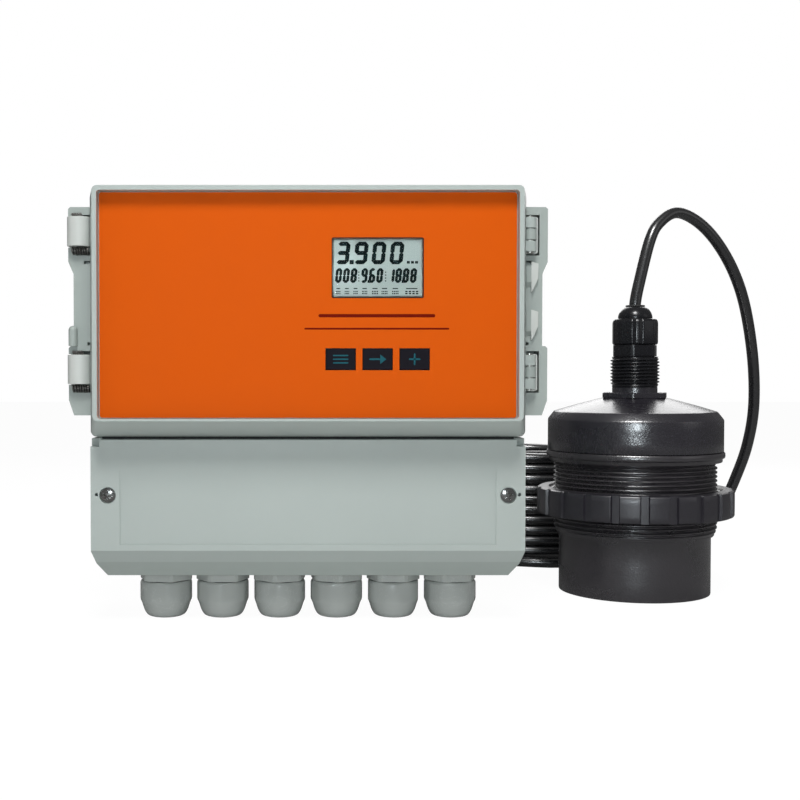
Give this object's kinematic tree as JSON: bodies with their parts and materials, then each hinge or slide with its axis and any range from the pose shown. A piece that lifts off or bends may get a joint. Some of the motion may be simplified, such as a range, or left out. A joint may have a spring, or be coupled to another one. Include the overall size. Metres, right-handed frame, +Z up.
{
  "type": "ultrasonic level sensor",
  "caption": "Ultrasonic liquid level sensor: wall-mounted display transmitter with hinged lid, terminal cover and cable glands, and a threaded probe on a coiled cable.",
  "frame": {"origin": "centre of the footprint of transmitter and probe, on the surface they stand on", "axes": "+X to the right along the display, +Y away from the viewer, +Z up"},
  "size_m": [0.3856, 0.31, 0.2142],
  "materials": {
    "case": "moulded, fine satin texture",
    "gasket": "foam rubber",
    "panel": "printed film, satin",
    "window": "clear acrylic",
    "lcd": "liquid crystal cell in a dark bezel",
    "board": "solder mask",
    "steel": "zinc plated",
    "key": "printed film, satin",
    "latch": "moulded, fine satin texture",
    "potted_module": "moulded",
    "relay": "moulded",
    "terminal": "moulded",
    "gland": "moulded nylon",
    "probe": "turned and moulded plastic, satin",
    "sensing_face": "cast resin",
    "ceramic": "fired ceramic",
    "cable": "extruded jacket",
    "tie": "nylon",
    "core": "insulated copper"
  },
  "bodies": {
    "instrument": {"rear_housing": "case", "latch_pin_upper": "steel", "latch_pin_lower": "steel", "main_board": "board", "power_module": "potted_module", "relay_left": "relay", "relay_right": "relay", "terminal_board": "board", "power_terminals": "terminal", "signal_terminals": "terminal", "board_screws": "steel", "gland_body_1": "gland", "gland_body_2": "gland", "gland_body_3": "gland", "gland_body_4": "gland", "gland_body_5": "gland", "gland_body_6": "gland", "gland_seal_1": "gasket", "gland_seal_2": "gasket", "gland_seal_3": "gasket", "gland_seal_4": "gasket", "gland_seal_5": "gasket", "gland_seal_6": "gasket", "gland_cap_1": "gland", "gland_cap_2": "gland", "gland_cap_3": "gland", "gland_cap_4": "gland", "gland_cap_5": "gland", "gland_cap_6": "gland", "gland_locknuts": "gland", "probe_body": "probe", "sensing_face": "sensing_face", "piezo_disc": "ceramic", "probe_cap": "probe", "probe_gland_body": "probe", "probe_gland_seal": "gasket", "probe_gland_cap": "probe", "probe_cable": "cable", "cable_coil": "cable", "cable_ties": "tie", "cable_end": "cable", "cable_cores": "core"},
    "lid": {"display_lid": "case", "lid_gasket": "gasket", "front_panel": "panel", "display_window": "window", "lcd_module": "lcd", "display_board": "board", "display_screws": "steel", "hinge_pin_upper": "steel", "hinge_pin_lower": "steel"},
    "cover": {"terminal_cover": "case", "cover_gasket": "gasket", "cover_screws": "steel"},
    "menu_key": {"key_menu": "key"},
    "next_key": {"key_next": "key"},
    "plus_key": {"key_plus": "key"},
    "upper_latch": {"latch_lever_upper": "latch"},
    "lower_latch": {"latch_lever_lower": "latch"},
    "nut": {"ring_nut": "probe"}
  },
  "joints": [
    {"name": "lid_hinge", "type": "hinge", "parent": "instrument", "child": "lid", "pos_m": [0.0462, -0.0605, 0.149], "axis": [0, 0, 1], "range_deg": [0, 105]},
    {"name": "cover_pull", "type": "slide", "parent": "instrument", "child": "cover", "axis": [0, -1, 0], "range_m": [0, 0.08]},
    {"name": "menu_key_press", "type": "slide", "parent": "lid", "child": "menu_key", "axis": [0, 1, 0], "range_m": [0, 0.0004], "stiffness_N_per_m": 1500, "springref_m": -0.0002},
    {"name": "next_key_press", "type": "slide", "parent": "lid", "child": "next_key", "axis": [0, 1, 0], "range_m": [0, 0.0004], "stiffness_N_per_m": 1500, "springref_m": -0.0002},
    {"name": "plus_key_press", "type": "slide", "parent": "lid", "child": "plus_key", "axis": [0, 1, 0], "range_m": [0, 0.0004], "stiffness_N_per_m": 1500, "springref_m": -0.0002},
    {"name": "upper_latch_turn", "type": "hinge", "parent": "instrument", "child": "upper_latch", "pos_m": [-0.1722, -0.055, 0.19], "axis": [0, 0, -1], "range_deg": [0, 90]},
    {"name": "lower_latch_turn", "type": "hinge", "parent": "instrument", "child": "lower_latch", "pos_m": [-0.1722, -0.055, 0.124], "axis": [0, 0, -1], "range_deg": [0, 90]},
    {"name": "ring_nut_turn", "type": "hinge", "parent": "instrument", "child": "nut", "pos_m": [0.1218, 0.032, 0.05], "axis": [0, 0, 1], "continuous": true}
  ]
}
